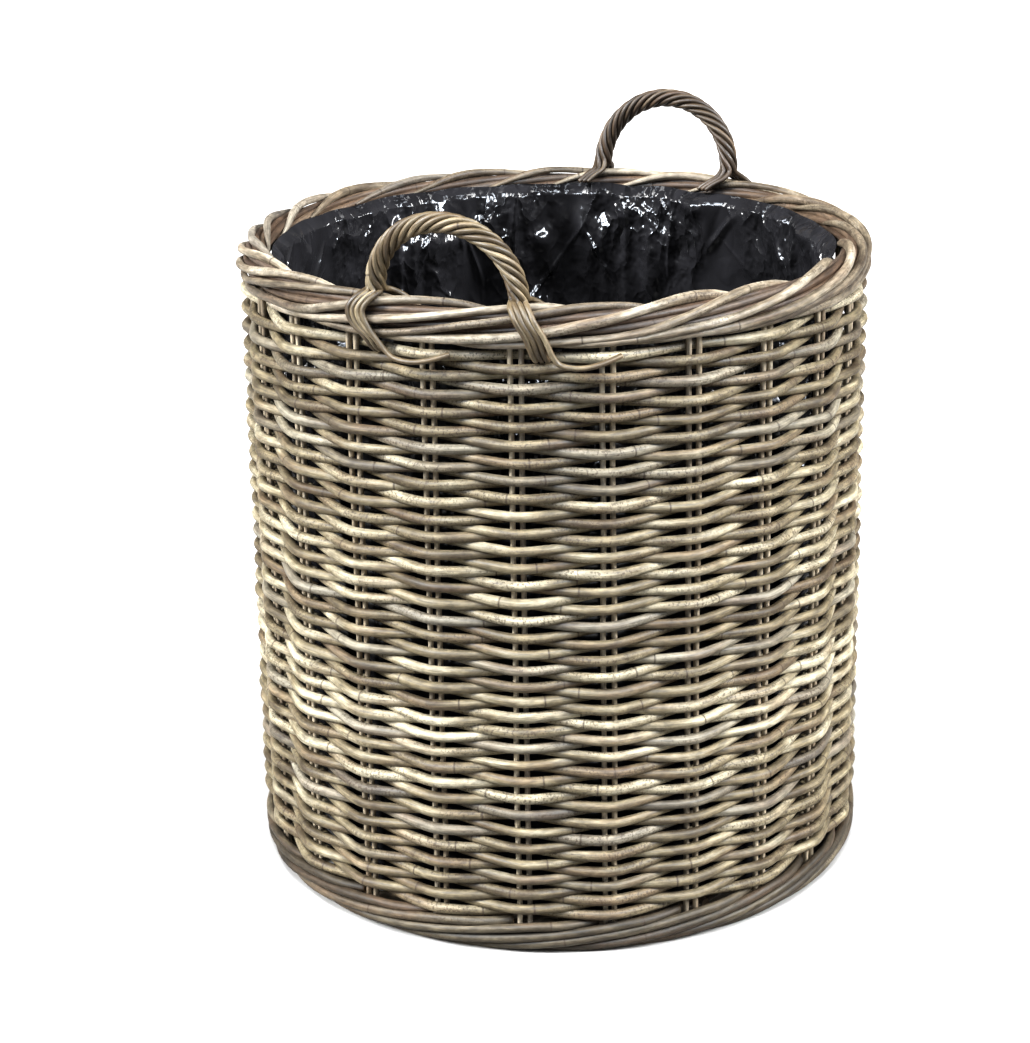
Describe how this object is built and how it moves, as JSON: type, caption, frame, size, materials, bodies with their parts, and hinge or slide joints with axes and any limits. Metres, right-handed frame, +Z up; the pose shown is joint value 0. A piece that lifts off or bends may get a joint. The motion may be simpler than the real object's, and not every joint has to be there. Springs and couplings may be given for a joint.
{
  "type": "wicker log basket",
  "caption": "Tall round basket of woven rattan rods with a rolled rim, a woven base, rope-twisted side handles and a loose film liner, for storing logs.",
  "frame": {"origin": "on the floor, at the centre of the foot", "axes": "+Z up through the open top; the handles stand near -X and +X"},
  "size_m": [0.5914, 0.5888, 0.6798],
  "materials": {
    "stake_rattan": "matt, pale weathered rattan",
    "weave_rattan": "satin, grey-brown weathered rattan with bark specks and node rings",
    "rim_rattan": "satin, grey-brown weathered rattan",
    "foot_rattan": "satin, worn grey-brown rattan",
    "base_rattan": "matt rattan",
    "handle_a_rattan": "satin, smooth olive-brown cane",
    "handle_b_rattan": "satin, smooth darker brown cane",
    "liner_film": "glossy crinkled black film"
  },
  "bodies": {
    "root": {"base_binding": "base_rattan", "base_sticks_lower": "base_rattan", "base_sticks_upper": "base_rattan", "base_weave": "base_rattan", "foot_border_rods_1": "foot_rattan", "foot_border_rods_2": "foot_rattan", "handle_a_core": "handle_a_rattan", "handle_a_strand_1": "handle_a_rattan", "handle_a_strand_2": "handle_a_rattan", "handle_a_strand_3": "handle_a_rattan", "handle_a_strand_4": "handle_a_rattan", "handle_a_strand_5": "handle_a_rattan", "handle_a_strand_6": "handle_a_rattan", "handle_a_strand_7": "handle_a_rattan", "handle_b_core": "handle_b_rattan", "handle_b_strand_1": "handle_b_rattan", "handle_b_strand_2": "handle_b_rattan", "handle_b_strand_3": "handle_b_rattan", "handle_b_strand_4": "handle_b_rattan", "handle_b_strand_5": "handle_b_rattan", "handle_b_strand_6": "handle_b_rattan", "handle_b_strand_7": "handle_b_rattan", "liner": "liner_film", "rim_border_rods_1": "rim_rattan", "rim_border_rods_2": "rim_rattan", "rim_border_rods_3": "rim_rattan", "rim_core_hoop": "rim_rattan", "side_weave_1": "weave_rattan", "side_weave_2": "weave_rattan", "side_weave_3": "weave_rattan", "side_weave_4": "weave_rattan", "side_weave_5": "weave_rattan", "side_weave_6": "weave_rattan", "side_weave_7": "weave_rattan", "side_weave_8": "weave_rattan", "stake_pair_01": "stake_rattan", "stake_pair_02": "stake_rattan", "stake_pair_03": "stake_rattan", "stake_pair_04": "stake_rattan", "stake_pair_05": "stake_rattan", "stake_pair_06": "stake_rattan", "stake_pair_07": "stake_rattan", "stake_pair_08": "stake_rattan", "stake_pair_09": "stake_rattan", "stake_pair_10": "stake_rattan", "stake_pair_11": "stake_rattan", "stake_pair_12": "stake_rattan", "stake_pair_13": "stake_rattan", "stake_pair_14": "stake_rattan", "stake_pair_15": "stake_rattan", "stake_pair_16": "stake_rattan", "stake_pair_17": "stake_rattan", "stake_pair_18": "stake_rattan", "stake_pair_19": "stake_rattan", "stake_pair_20": "stake_rattan", "stake_pair_21": "stake_rattan", "stake_pair_22": "stake_rattan", "stake_pair_23": "stake_rattan"}
  },
  "joints": []
}
